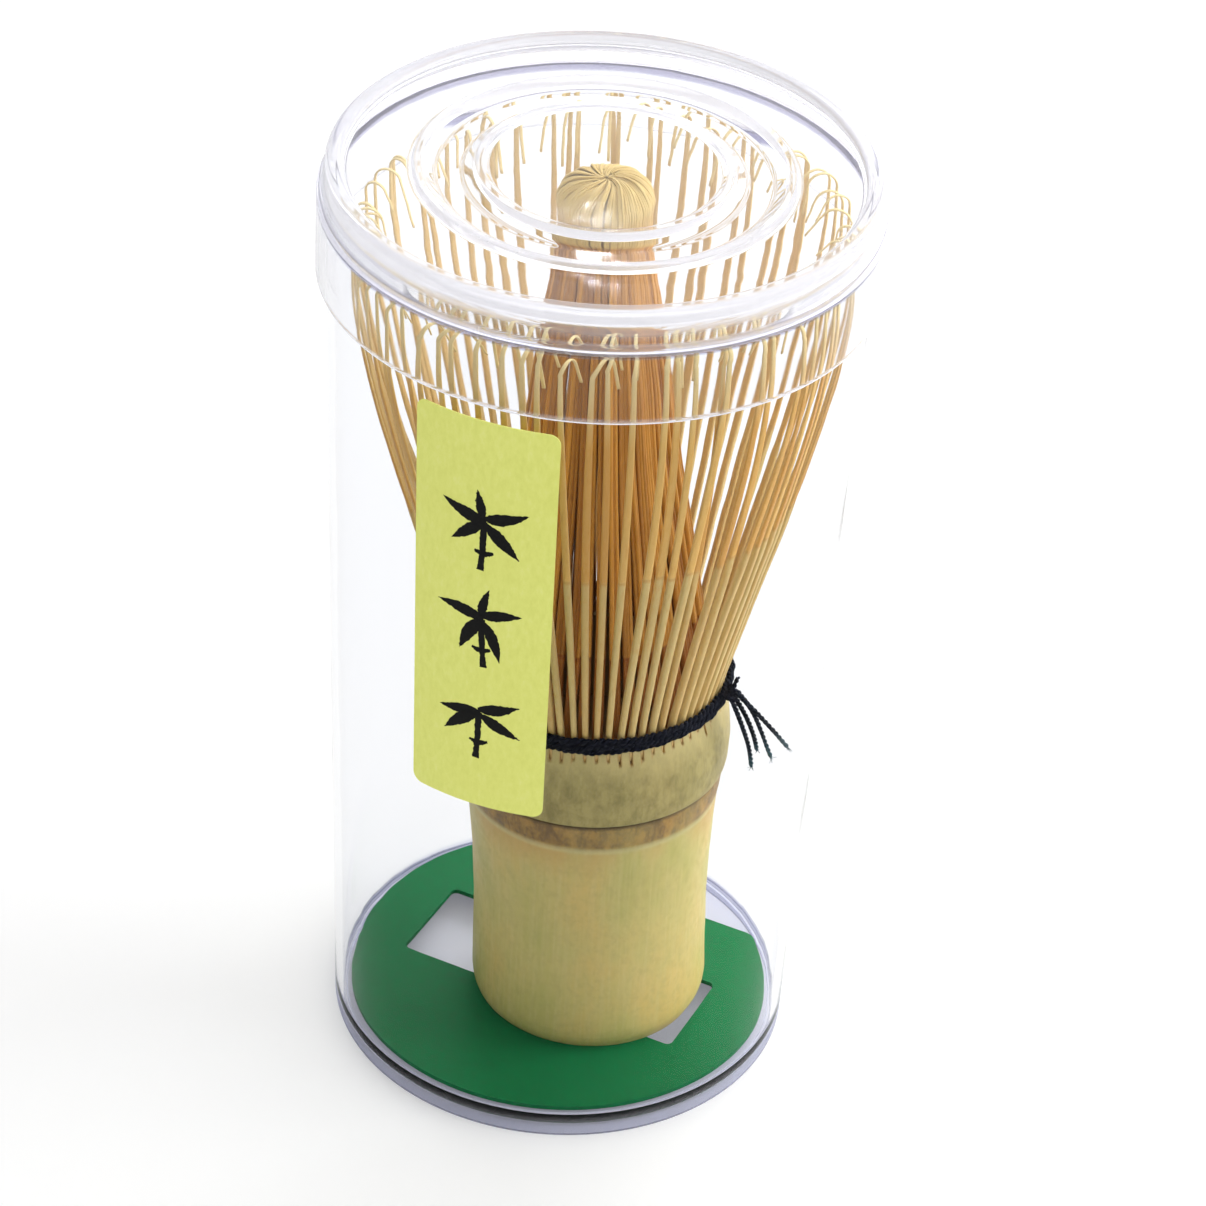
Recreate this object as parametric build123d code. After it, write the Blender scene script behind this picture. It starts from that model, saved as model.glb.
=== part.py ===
from build123d import *
import math
import os

os.makedirs("parts", exist_ok=True)

# Cup: a tapered clear tumbler with a raised floor
CUP_FOOT_R = 28.6
CUP_MOUTH_R = 31.5
CUP_H = 116.5
CUP_WALL = 1.0
CUP_FLOOR_UNDER = 1.6
CUP_FLOOR_TOP = 2.8
CUP_MOUTH_ROUND = 0.35
CUP_FOOT_ROUND = 0.2
CUP_TAPER = (CUP_MOUTH_R - CUP_FOOT_R) / CUP_H

# Lid: a skirt over the cup's mouth, a rim bead, a plate and two raised rings
LID_SKIRT_Z = 107.8
LID_SKIRT_IN_R = 31.65
LID_SKIRT_OUT_R = 32.4
LID_LEDGE_Z = 116.6
LID_NECK_IN_R = 30.0
LID_SHOULDER_Z = 117.6
LID_SHOULDER_DROP = 1.6
LID_BEAD_R = 31.5
LID_BEAD_IN_R = 29.7
LID_TOP_Z = 121.6
LID_PLATE_TOP = 120.6
LID_PLATE_T = 1.1
LID_DISC_TOP = 120.9
LID_RING1_R = 21.1
LID_RING2_R = 14.2
LID_RING_TOP = 121.3
LID_RING_HALF = 0.45
LID_RING_SLOPE = 0.5
LID_TROUGH_TOP = 120.0
LID_TROUGH_R = 17.6
LID_TROUGH_HALF = 1.4
LID_BEAD_ROUND = 0.75
LID_SHOULDER_ROUND = 1.0

# Sticker on the cup
LABEL_Z0 = 51.1
LABEL_Z1 = 105.3
LABEL_T = 0.15
LABEL_AZ_LEFT = -37.6
LABEL_AZ_RIGHT = -5.6
LABEL_CORNER = 1.2

# Card insert
CARD_R = 26.5
CARD_T = 0.6
CARD_TOP = CUP_FLOOR_TOP + CARD_T
SLOT_L = 38.0
SLOT_W = 13.4
SLOT_CORNER = 0.8
SLOT_ANGLE = -25.0
CHORD_DIST = 18.0
CHORD_CORNER = 2.0

# Whisk axis: the foot stands off centre and the whole whisk leans a little
WHISK_X = 3.8
WHISK_Y = -1.2
WHISK_TILT_X = -1.15
WHISK_TILT_Y = -1.83

# Culm, by height along the whisk's own axis from its foot
FOOT_R = 14.9
FOOT_EXTRA = 1.5
LEVEL_CUT = 1.5
WAIST_H = 14.0
WAIST_R = 14.6
WAIST_ROUND = 30.0
SCAR_H = 32.0
SCAR_R = 15.55
NODE_H = 35.6
NODE_GROOVE_R = 15.9
NODE_LIP_R = 16.35
NODE_LIP_RISE = 0.35
SHOULDER_H = 40.0
SHOULDER_R = 16.7
ROOT_H = 46.0
ROOT_R = 15.9
BORE_R = 11.2
SEPTUM_LOW = 31.5
SEPTUM_HIGH = 35.0
UPPER_BORE_R = 12.4

# Tines
SECTIONS = 8
SECTION_ANGLE = 360.0 / SECTIONS
OUTER_PER_SECTION = 9
INNER_PER_SECTION = 6
ROOT_TOP = 47.4
OUTER_ROOT_IN_R = 14.5
INNER_ROOT_OUT_R = 14.3
INNER_ROOT_IN_R = 12.9
OUTER_TINE_W = 0.8
INNER_TINE_W = 0.42

# Centre line of an outer tine: radius, height along the axis, thickness
OUTER_LINE = [
    (15.2, 46.8, 1.1),
    (15.6, 50.0, 1.0),
    (19.6, 63.8, 0.75),
    (24.7, 81.8, 0.5),
    (27.4, 95.0, 0.4),
    (28.6, 104.0, 0.36),
    (28.85, 108.5, 0.34),
    (28.55, 111.3, 0.32),
    (27.7, 112.9, 0.3),
    (26.6, 112.6, 0.3),
    (25.9, 111.3, 0.3),
    (25.9, 109.8, 0.3),
]

# Centre line of an inner tine
INNER_LINE = [
    (13.7, 46.8, 1.1),
    (13.5, 50.5, 1.0),
    (10.9, 66.3, 0.7),
    (8.4, 81.3, 0.5),
    (7.2, 92.3, 0.45),
    (5.9, 101.0, 0.42),
    (5.15, 108.5, 0.4),
    (4.95, 112.3, 0.4),
    (4.2, 114.2, 0.4),
    (3.5, 114.6, 0.4),
]

# Binding thread: two rows round the tines, a knot at the right and four loose ends
THREAD_ROW_R = 0.52
THREAD_ROWS = [(16.52, 47.95), (16.65, 48.95)]
KNOT_AT = (16.6, -6.6, 49.6)
KNOT_R = 1.25
STUB_TO = (17.2, -6.5, 52.1)
TAIL_R = 0.25
TAILS = {
    "thread_end_1": [(16.6, -7.2, 49.2), (17.9, -7.1, 45.4), (18.9, -6.8, 41.8), (19.3, -6.6, 38.7)],
    "thread_end_2": [(16.9, -6.4, 49.2), (18.5, -5.9, 45.6), (19.5, -5.7, 42.6), (19.9, -5.4, 40.3)],
    "thread_end_3": [(17.2, -6.2, 49.8), (19.0, -6.1, 47.0), (20.3, -6.0, 43.7), (21.7, -6.0, 39.7)],
    "thread_end_4": [(17.2, -6.9, 49.9), (19.4, -7.0, 47.4), (21.5, -7.1, 44.9), (23.6, -7.0, 42.0)],
}


def turned(points, rounds=()):
    """Solid of revolution about Z of a closed outline of (radius, height) points.

    rounds lists (point, radius) for the corners that are rounded."""
    with BuildPart() as body:
        with BuildSketch(Plane.XZ):
            with BuildLine():
                Polyline(*points, close=True)
            make_face()
            for (r, h), radius in rounds:
                fillet(vertices().sort_by_distance((r, h, 0))[0], radius)
        revolve(axis=Axis.Z)
    return body.part


def cup_radius(z):
    return CUP_FOOT_R + CUP_TAPER * z


def make_cup():
    foot_in = (cup_radius(0) - CUP_WALL, 0)
    foot_out = (cup_radius(0), 0)
    mouth_out = (cup_radius(CUP_H), CUP_H)
    mouth_in = (cup_radius(CUP_H) - CUP_WALL, CUP_H)
    floor_top = (cup_radius(CUP_FLOOR_TOP) - CUP_WALL, CUP_FLOOR_TOP)
    floor_under = (cup_radius(CUP_FLOOR_UNDER) - CUP_WALL, CUP_FLOOR_UNDER)
    outline = [foot_out, mouth_out, mouth_in, floor_top]
    outline += [(0, CUP_FLOOR_TOP), (0, CUP_FLOOR_UNDER), floor_under, foot_in]
    rounds = [(corner, CUP_FOOT_ROUND) for corner in (foot_in, foot_out)]
    rounds += [(corner, CUP_MOUTH_ROUND) for corner in (mouth_out, mouth_in)]
    return turned(outline, rounds)


def ring_top(radius, inner_z, outer_z):
    """Top outline of one raised ring, from outside to inside."""
    foot = LID_RING_HALF + LID_RING_SLOPE
    return [
        (radius + foot, outer_z),
        (radius + LID_RING_HALF, LID_RING_TOP),
        (radius - LID_RING_HALF, LID_RING_TOP),
        (radius - foot, inner_z),
    ]


def make_lid():
    skirt_low = (LID_SKIRT_OUT_R, LID_SKIRT_Z)
    shoulder = (LID_SKIRT_OUT_R, LID_SHOULDER_Z)
    bead_foot = (LID_BEAD_R, LID_SHOULDER_Z + LID_SHOULDER_DROP)
    bead_out = (LID_BEAD_R, LID_TOP_Z)
    bead_in = (LID_BEAD_IN_R, LID_TOP_Z)
    trough_out = (LID_TROUGH_R + LID_TROUGH_HALF, LID_TROUGH_TOP)
    trough_in = (LID_TROUGH_R - LID_TROUGH_HALF, LID_TROUGH_TOP)
    top = [skirt_low, shoulder, bead_foot, bead_out, bead_in, (LID_BEAD_IN_R, LID_PLATE_TOP)]
    top += ring_top(LID_RING1_R, LID_RING_TOP - LID_RING_SLOPE, LID_PLATE_TOP)
    top += [trough_out, trough_in]
    top += ring_top(LID_RING2_R, LID_DISC_TOP, LID_RING_TOP - LID_RING_SLOPE)
    top += [(0, LID_DISC_TOP)]
    under = [
        (0, LID_DISC_TOP - LID_PLATE_T),
        (LID_RING2_R, LID_DISC_TOP - LID_PLATE_T),
        (LID_TROUGH_R - LID_TROUGH_HALF, LID_TROUGH_TOP - LID_PLATE_T),
        (LID_TROUGH_R + LID_TROUGH_HALF, LID_TROUGH_TOP - LID_PLATE_T),
        (LID_RING1_R, LID_PLATE_TOP - LID_PLATE_T),
        (LID_NECK_IN_R, LID_PLATE_TOP - LID_PLATE_T),
        (LID_NECK_IN_R, LID_LEDGE_Z),
        (LID_SKIRT_IN_R, LID_LEDGE_Z),
        (LID_SKIRT_IN_R, LID_SKIRT_Z),
    ]
    rounds = [
        (shoulder, LID_SHOULDER_ROUND),
        (bead_foot, LID_SHOULDER_ROUND),
        (bead_out, LID_BEAD_ROUND),
        (bead_in, LID_BEAD_ROUND),
    ]
    return turned(top + under, rounds)


def make_label():
    """A thin sheet that follows the cup's cone, with rounded corners."""
    low = cup_radius(LABEL_Z0)
    high = cup_radius(LABEL_Z1)
    outline = [
        (low, LABEL_Z0),
        (low + LABEL_T, LABEL_Z0),
        (high + LABEL_T, LABEL_Z1),
        (high, LABEL_Z1),
    ]
    with BuildPart() as body:
        with BuildSketch(Plane.XZ):
            with BuildLine():
                Polyline(*outline, close=True)
            make_face()
        revolve(axis=Axis.Z, revolution_arc=LABEL_AZ_RIGHT - LABEL_AZ_LEFT)
        corners = [edge for edge in body.edges() if edge.length < 2 * LABEL_T]
        fillet(corners, LABEL_CORNER)
    return body.part.rotate(Axis.Z, LABEL_AZ_LEFT - 90)


def make_card():
    with BuildPart() as body:
        with BuildSketch(Plane.XY.offset(CUP_FLOOR_TOP)):
            Circle(CARD_R)
            with Locations(Rot(0, 0, SLOT_ANGLE)):
                with Locations((0, CHORD_DIST + CARD_R / 2)):
                    Rectangle(2 * CARD_R, CARD_R, mode=Mode.SUBTRACT)
            fillet(vertices(), CHORD_CORNER)
            with Locations(Rot(0, 0, SLOT_ANGLE)):
                RectangleRounded(SLOT_L, SLOT_W, SLOT_CORNER, mode=Mode.SUBTRACT)
        extrude(amount=CARD_T)
    return body.part


def make_culm():
    """Handle with its node, hollow below and above the septum, cut level at the foot."""
    outer = [
        (FOOT_R, -FOOT_EXTRA),
        (FOOT_R, 0),
        (WAIST_R, WAIST_H),
        (SCAR_R, SCAR_H),
        (NODE_GROOVE_R, NODE_H),
        (NODE_LIP_R, NODE_H + NODE_LIP_RISE),
        (SHOULDER_R, SHOULDER_H),
        (ROOT_R, ROOT_H),
    ]
    inner = [
        (UPPER_BORE_R, ROOT_H),
        (UPPER_BORE_R, SEPTUM_HIGH),
        (0, SEPTUM_HIGH),
        (0, SEPTUM_LOW),
        (BORE_R, SEPTUM_LOW),
        (BORE_R, -FOOT_EXTRA),
    ]
    culm = placed(turned(outer + inner, [((WAIST_R, WAIST_H), WAIST_ROUND)]))
    below = Pos(WHISK_X, WHISK_Y, CARD_TOP - FOOT_R) * Box(*(2 * FOOT_R * LEVEL_CUT,) * 2, 2 * FOOT_R)
    return culm - below


def strip(line):
    """Closed outline around a centre line of (radius, height, thickness) points."""
    outside = []
    inside = []
    last = len(line) - 1
    for i, (r, h, thick) in enumerate(line):
        before = line[max(i - 1, 0)]
        after = line[min(i + 1, last)]
        along_r = after[0] - before[0]
        along_h = after[1] - before[1]
        half = thick / 2 / math.hypot(along_r, along_h)
        outside.append((r + along_h * half, h - along_r * half))
        inside.append((r - along_h * half, h + along_r * half))
    return outside + inside[::-1]


def make_tine(line, width):
    """One tine in the XZ plane, at azimuth zero of the whisk's own frame."""
    with BuildPart() as body:
        with BuildSketch(Plane.XZ):
            with BuildLine():
                Polyline(*strip(line), close=True)
            make_face()
        extrude(amount=width / 2, both=True)
    return body.part


def make_root(inner, outer):
    """One section's share of the ring that its tines rise from."""
    with BuildPart() as body:
        with BuildSketch(Plane.XZ):
            with BuildLine():
                Polyline(
                    (inner, ROOT_H),
                    (outer, ROOT_H),
                    (outer, ROOT_TOP),
                    (inner, ROOT_TOP),
                    close=True,
                )
            make_face()
        revolve(axis=Axis.Z, revolution_arc=SECTION_ANGLE)
    return body.part


def make_section(index, root, pattern, count):
    """Root and tines of one section as one solid."""
    start = index * SECTION_ANGLE
    pitch = SECTION_ANGLE / count
    tines = [pattern.rotate(Axis.Z, start + pitch * (k + 0.5)) for k in range(count)]
    return placed(root.rotate(Axis.Z, start).fuse(*tines))


def make_winding():
    rows = [Pos(0, 0, h) * Torus(r, THREAD_ROW_R) for r, h in THREAD_ROWS]
    return rows[0].fuse(*rows[1:])


def make_strand(points):
    """Round thread along a smooth curve through the points."""
    path = Edge.make_spline([Vector(*p) for p in points])
    start = Plane(origin=path @ 0, z_dir=path % 0)
    return sweep(start * Circle(TAIL_R), path=path)


def placed(shape):
    return WHISK_PLACE * shape


def save(name, shape):
    shape.label = name
    export_step(shape, f"parts/{name}.step")


WHISK_PLACE = Location((WHISK_X, WHISK_Y, CARD_TOP), (WHISK_TILT_X, WHISK_TILT_Y, 0))

save("cup", make_cup())
save("lid", make_lid())
save("label", make_label())
save("card", make_card())
save("culm", make_culm())

outer_root = make_root(OUTER_ROOT_IN_R, ROOT_R)
inner_root = make_root(INNER_ROOT_IN_R, INNER_ROOT_OUT_R)
outer_tine = make_tine(OUTER_LINE, OUTER_TINE_W)
inner_tine = make_tine(INNER_LINE, INNER_TINE_W)
for i in range(SECTIONS):
    save(f"outer_tines_{i + 1}", make_section(i, outer_root, outer_tine, OUTER_PER_SECTION))
    save(f"inner_tines_{i + 1}", make_section(i, inner_root, inner_tine, INNER_PER_SECTION))

winding = make_winding()
stub = make_strand([KNOT_AT, STUB_TO])
knot = (Pos(*KNOT_AT) * Sphere(KNOT_R)).fuse(stub) - winding
save("thread_winding", placed(winding))
save("thread_knot", placed(knot))
for name, points in TAILS.items():
    strand = make_strand(points) - knot
    save(name, placed(strand))
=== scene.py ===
import math

import bmesh
import bpy
import numpy as np
from mathutils import Matrix, Vector


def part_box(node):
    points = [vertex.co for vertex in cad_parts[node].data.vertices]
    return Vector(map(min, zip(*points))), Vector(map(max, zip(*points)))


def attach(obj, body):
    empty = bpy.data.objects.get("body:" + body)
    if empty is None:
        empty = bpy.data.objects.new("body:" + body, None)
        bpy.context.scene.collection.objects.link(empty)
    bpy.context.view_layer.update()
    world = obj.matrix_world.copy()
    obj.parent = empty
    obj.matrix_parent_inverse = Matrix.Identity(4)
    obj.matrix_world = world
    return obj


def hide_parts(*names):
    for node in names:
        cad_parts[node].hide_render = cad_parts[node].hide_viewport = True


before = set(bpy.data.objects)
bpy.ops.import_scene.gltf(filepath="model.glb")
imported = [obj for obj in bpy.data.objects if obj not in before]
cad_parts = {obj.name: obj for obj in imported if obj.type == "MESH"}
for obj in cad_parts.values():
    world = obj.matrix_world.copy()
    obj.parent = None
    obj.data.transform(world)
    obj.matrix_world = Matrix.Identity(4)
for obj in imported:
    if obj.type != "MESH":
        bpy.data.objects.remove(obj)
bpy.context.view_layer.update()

MM = 0.001
SEED = 11
FULL_TURN = 2 * math.pi


# ---------------------------------------------------------------- sizes, in mm, from the frame
def node_box(name):
    low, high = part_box(name)
    return np.array(low) / MM, np.array(high) / MM


cup_high = node_box("cup")[1]
lid_low, lid_high = node_box("lid")
card_low, card_high = node_box("card")
label_low, label_high = node_box("label")

CUP_FOOT_R = 28.6
CUP_MOUTH_R = 31.5
CUP_H = float(cup_high[2])
CUP_WALL = 1.0
CUP_TAPER = (CUP_MOUTH_R - CUP_FOOT_R) / CUP_H
CUP_LIP = 0.8
FLOOR_UNDER = 1.6
FLOOR_TOP = float(card_low[2])
CARD_TOP = float(card_high[2])

LID_SKIRT_Z = float(lid_low[2])
LID_TOP_Z = float(lid_high[2])
LID_SKIRT_R = float(lid_high[0])
LID_SKIRT_IN_R = 31.65
LID_BEAD_R = 31.5
LID_NECK_IN_R = 30.8
LID_LEDGE_Z = LID_SKIRT_Z + 8.8
LID_PLATE_T = 1.1

LABEL_Z0 = float(label_low[2])
LABEL_Z1 = float(label_high[2])
LABEL_LEFT = math.radians(-37.6)
LABEL_RIGHT = math.radians(-5.6)
LABEL_CORNER = 1.3
PAPER_BACK = 0.01
PAPER_FRONT = 0.15
INK_LIFT = 0.165

# The whisk stands off centre on the card and leans a little
WHISK_PLACE = (
    Matrix.Translation((3.8, -1.2, CARD_TOP))
    @ Matrix.Rotation(math.radians(-1.15), 4, "X")
    @ Matrix.Rotation(math.radians(-1.83), 4, "Y")
)
SECTIONS = 8
OUTER_PER_SECTION = 9
INNER_PER_SECTION = 6

# Heights up the whisk from the card
SCAR_H = 32.0
GROOVE_H = 35.55
LIP_H = 35.6
CULM_TOP_H = 47.2
TINE_ROOT_H = 46.0
TINE_TOP_H = 114.0

# Tones that the meshes carry for their materials
CLEAR, EDGE, RIM = 0.0, 1.0, 2.0
# SLIT_SHADE is the tone of the painted shade in the slits between the tines
SKIN, BORE, SLIT_SHADE = 0.0, 1.0, 2.0
# LIT_INNER_FACE lowers the tone of the outer tines' inner faces, which are painted pale golden as light
# shining through the tines
LIT_INNER_FACE = 2.0


# ---------------------------------------------------------------- mesh building
class Build:
    """Collects grids of points into one mesh, with a tone and a height for each point."""

    def __init__(self):
        self.verts = []
        self.faces = []
        self.tone = []
        self.along = []
        self.count = 0

    def grid(self, pts, wrap=True, loop=False, caps=True, tone=0.5, along=None):
        """pts is rows x columns x 3. wrap joins the last column to the first, loop the rows."""
        rows, cols = pts.shape[:2]
        start = self.count
        self.verts.append(pts.reshape(-1, 3))
        self.tone.append(np.broadcast_to(np.asarray(tone, float), (rows, cols)).reshape(-1))
        heights = np.zeros(rows) if along is None else np.asarray(along, float)
        self.along.append(np.repeat(heights, cols))
        self.count += rows * cols
        index = start + np.arange(rows * cols).reshape(rows, cols)
        row_here = index if loop else index[:-1]
        row_next = np.roll(index, -1, axis=0) if loop else index[1:]
        if wrap:
            a, b = row_here, np.roll(row_here, -1, axis=1)
            c, d = np.roll(row_next, -1, axis=1), row_next
        else:
            a, b = row_here[:, :-1], row_here[:, 1:]
            c, d = row_next[:, 1:], row_next[:, :-1]
        self.faces += np.stack([a, b, c, d], -1).reshape(-1, 4).tolist()
        if caps and wrap and not loop:
            self.faces.append(index[0][::-1].tolist())
            self.faces.append(index[-1].tolist())

    def object(self, name, place=None, sharp=None):
        """The smooth-shaded object, moved by place. Edges over sharp degrees stay sharp."""
        verts = np.concatenate(self.verts)
        if place is not None:
            m = np.array(place)
            verts = verts @ m[:3, :3].T + m[:3, 3]
        mesh = bpy.data.meshes.new(name)
        mesh.from_pydata((verts * MM).tolist(), [], self.faces)
        for key, values in (("tone", self.tone), ("along", self.along)):
            layer = mesh.attributes.new(key, "FLOAT", "POINT")
            layer.data.foreach_set("value", np.concatenate(values))
        bm = bmesh.new()
        bm.from_mesh(mesh)
        bmesh.ops.remove_doubles(bm, verts=bm.verts, dist=1e-7)
        bmesh.ops.recalc_face_normals(bm, faces=bm.faces)
        bm.to_mesh(mesh)
        bm.free()
        mesh.polygons.foreach_set("use_smooth", [True] * len(mesh.polygons))
        if sharp is not None:
            mesh.set_sharp_from_angle(angle=math.radians(sharp))
        mesh.validate()
        mesh.update()
        obj = bpy.data.objects.new(name, mesh)
        bpy.context.scene.collection.objects.link(obj)
        return obj


def unit(vectors):
    """Rows of vectors scaled to length 1."""
    return vectors / np.linalg.norm(vectors, axis=1, keepdims=True)


def profile(at, rows, column=1):
    """Value at each place, read between rows of (place, value, ...)."""
    table = np.array(rows)
    return np.interp(at, table[:, 0], table[:, column])


def smooth_line(points, count):
    """Catmull-Rom line through the points, at evenly spread parameters."""
    p = np.asarray(points, float)
    ends = np.vstack([2 * p[0] - p[1], p, 2 * p[-1] - p[-2]])
    s = np.linspace(0, len(p) - 1, count)
    i = np.minimum(s.astype(int), len(p) - 2)
    t = (s - i)[:, None]
    before, here, after, beyond = ends[i], ends[i + 1], ends[i + 2], ends[i + 3]
    slope_here = (after - before) / 2
    slope_after = (beyond - here) / 2
    t2 = t * t
    t3 = t2 * t
    return (
        (2 * t3 - 3 * t2 + 1) * here
        + (t3 - 2 * t2 + t) * slope_here
        + (3 * t2 - 2 * t3) * after
        + (t3 - t2) * slope_after
    )


def soft_outline(corners, guard):
    """Closed outline of (r, z, rounding, tone) corners, and the tone of each of its points.

    A corner becomes an arc with a guard point on either side, or stays one point where its
    rounding is 0.
    """
    steps = 6
    out = []
    tones = []
    for i, (r, z, radius, tone) in enumerate(corners):
        here = np.array((r, z))
        if radius <= 0:
            out.append(here)
            tones.append(tone)
            continue
        before = np.array(corners[i - 1][:2]) - here
        after = np.array(corners[(i + 1) % len(corners)][:2]) - here
        u = before / np.linalg.norm(before)
        v = after / np.linalg.norm(after)
        half = math.acos(float(np.clip(u @ v, -1, 1))) / 2
        reach = radius / math.tan(half)
        reach = min(reach, 0.48 * np.linalg.norm(before), 0.48 * np.linalg.norm(after))
        radius = reach * math.tan(half)
        centre = here + (u + v) / np.linalg.norm(u + v) * radius / math.sin(half)
        first = here + u * reach
        last = here + v * reach
        a0 = math.atan2(*(first - centre)[::-1])
        a1 = math.atan2(*(last - centre)[::-1])
        turn = (a1 - a0 + math.pi) % FULL_TURN - math.pi
        out.append(first + u * guard)
        for k in range(steps + 1):
            a = a0 + turn * k / steps
            out.append(centre + radius * np.array((math.cos(a), math.sin(a))))
        out.append(last + v * guard)
        tones += [tone] * (steps + 3)
    outline = np.array(out)
    outline[:, 0] = np.maximum(outline[:, 0], 0.0)
    return outline, np.array(tones)


def lathe(outline):
    """Grid of a closed outline turned about Z, columns round the outline."""
    angle = np.linspace(0, FULL_TURN, 256, endpoint=False)[:, None]
    r = outline[None, :, 0]
    z = outline[None, :, 1] * np.ones_like(angle)
    return np.stack([r * np.cos(angle), r * np.sin(angle), z], -1)


def turned(name, corners, guard):
    """A turned solid with soft corners."""
    outline, tone = soft_outline(corners, guard)
    build = Build()
    build.grid(lathe(outline), loop=True, caps=False, tone=tone)
    return build.object(name)


def polar(r, azimuth, h):
    """Points at a radius and azimuth about Z, and a height."""
    return np.stack([r * np.cos(azimuth), r * np.sin(azimuth), h], -1)


# A direction that no thread runs along
OFF_AXIS = (0.31, 0.17, 0.93)


def normals(path, up):
    """Two unit normals along a path."""
    t = unit(np.gradient(path, axis=0))
    side = np.cross(t, np.asarray(up))
    side /= np.maximum(np.linalg.norm(side, axis=1, keepdims=True), 1e-9)
    return side, np.cross(side, t)


def tube(path, radius, sides):
    a, b = normals(path, OFF_AXIS)
    angle = np.linspace(0, FULL_TURN, sides, endpoint=False)
    r = np.broadcast_to(radius, (len(path),))[:, None, None]
    ring = np.cos(angle)[None, :, None] * a[:, None] + np.sin(angle)[None, :, None] * b[:, None]
    return path[:, None] + r * ring


def twisted(build, path, radius, pitch, tone=0.5, closed=False):
    """Two-ply thread along a path: each ply is a tube that winds round the path."""
    plies, ply_off, ply_size, ply_sides = 2, 0.46, 0.6, 8
    step = np.linalg.norm(np.diff(path, axis=0), axis=1)
    run = np.concatenate([[0], np.cumsum(step)])
    turns = max(1, round(run[-1] / pitch))
    a, b = normals(path, (0.0, 0.0, 1.0) if closed else OFF_AXIS)
    r = np.broadcast_to(radius, (len(path),))
    for ply in range(plies):
        phase = FULL_TURN * (turns * run / run[-1] + ply / plies)
        off = (ply_off * r)[:, None] * (np.cos(phase)[:, None] * a + np.sin(phase)[:, None] * b)
        pts = tube(path + off, ply_size * r, ply_sides)
        if closed:
            pts = pts[:-1]
        build.grid(pts, loop=closed, tone=tone, along=np.linspace(0, 1, len(pts)))


# ---------------------------------------------------------------- material nodes
def new_material(name):
    mat = bpy.data.materials.new(name)
    mat.use_nodes = True
    tree = mat.node_tree
    tree.nodes.clear()
    out = tree.nodes.new("ShaderNodeOutputMaterial")
    return mat, tree, out


def node(tree, kind, links=None):
    """A node with links into it from other sockets."""
    n = tree.nodes.new(kind)
    for key, socket in (links or {}).items():
        tree.links.new(socket, n.inputs[key])
    return n


def feed(tree, n, key, value):
    """Links a socket into an input of a node, or sets the input to a plain value."""
    if hasattr(value, "node"):
        tree.links.new(value, n.inputs[key])
    else:
        n.inputs[key].default_value = value


def ramp(tree, factor, stops):
    n = tree.nodes.new("ShaderNodeValToRGB")
    tree.links.new(factor, n.inputs["Fac"])
    elements = n.color_ramp.elements
    while len(elements) < len(stops):
        elements.new(0.5)
    for element, (at, colour) in zip(elements, stops):
        element.position = at
        element.color = (*colour, 1.0)
    return n.outputs["Color"]


def stretched_noise(tree, scale, detail=4.0, roughness=0.55):
    coords = node(tree, "ShaderNodeTexCoord")
    mapping = node(tree, "ShaderNodeMapping", {"Vector": coords.outputs["Object"]})
    mapping.inputs["Scale"].default_value = scale
    noise = node(tree, "ShaderNodeTexNoise", {"Vector": mapping.outputs[0]})
    noise.inputs["Scale"].default_value = 1.0
    noise.inputs["Detail"].default_value = detail
    noise.inputs["Roughness"].default_value = roughness
    return noise.outputs["Fac"]


def attribute(tree, name):
    n = node(tree, "ShaderNodeAttribute")
    n.attribute_name = name
    return n.outputs["Fac"]


def mix_colour(tree, factor, a, b):
    n = tree.nodes.new("ShaderNodeMix")
    n.data_type = "RGBA"
    feed(tree, n, 0, factor)
    for key, colour in ((6, a), (7, b)):
        feed(tree, n, key, colour if hasattr(colour, "node") else (*colour, 1.0))
    return n.outputs[2]


def math_node(tree, operation, a, b):
    n = tree.nodes.new("ShaderNodeMath")
    n.operation = operation
    feed(tree, n, 0, a)
    feed(tree, n, 1, b)
    return n.outputs[0]


def times(tree, a, b):
    return math_node(tree, "MULTIPLY", a, b)


def remap(tree, value, low, high, to_low=0.0, to_high=1.0):
    n = node(tree, "ShaderNodeMapRange", {"Value": value})
    n.inputs["From Min"].default_value = low
    n.inputs["From Max"].default_value = high
    n.inputs["To Min"].default_value = to_low
    n.inputs["To Max"].default_value = to_high
    return n.outputs[0]


def between(tree, value, low, rise, fall, high):
    """1 from rise to fall, 0 below low and above high."""
    return times(tree, remap(tree, value, low, rise), remap(tree, value, high, fall))


def bump(tree, height, strength, distance):
    n = node(tree, "ShaderNodeBump", {"Height": height})
    n.inputs["Strength"].default_value = strength
    n.inputs["Distance"].default_value = distance
    return n.outputs["Normal"]


def mix_shader(tree, share, first, second):
    n = node(tree, "ShaderNodeMixShader")
    tree.links.new(share, n.inputs[0])
    tree.links.new(first.outputs[0], n.inputs[1])
    tree.links.new(second.outputs[0], n.inputs[2])
    return n


def principled(tree, out, colour, roughness, normal=None, **values):
    n = tree.nodes.new("ShaderNodeBsdfPrincipled")
    feed(tree, n, "Base Color", colour)
    feed(tree, n, "Roughness", roughness)
    if normal is not None:
        tree.links.new(normal, n.inputs["Normal"])
    for key, value in values.items():
        n.inputs[key.replace("_", " ")].default_value = value
    tree.links.new(n.outputs[0], out.inputs["Surface"])


# ---------------------------------------------------------------- materials
PLASTIC_IOR = 1.45
RIM_TINT = (0.52, 0.51, 0.66)
MILK_AND_HIGHLIGHT_TINT = (0.93, 0.93, 0.96, 1.0)
LAMP_TINT = (0.97, 0.975, 0.98, 1.0)
WHITE = (1.0, 1.0, 1.0)


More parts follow.
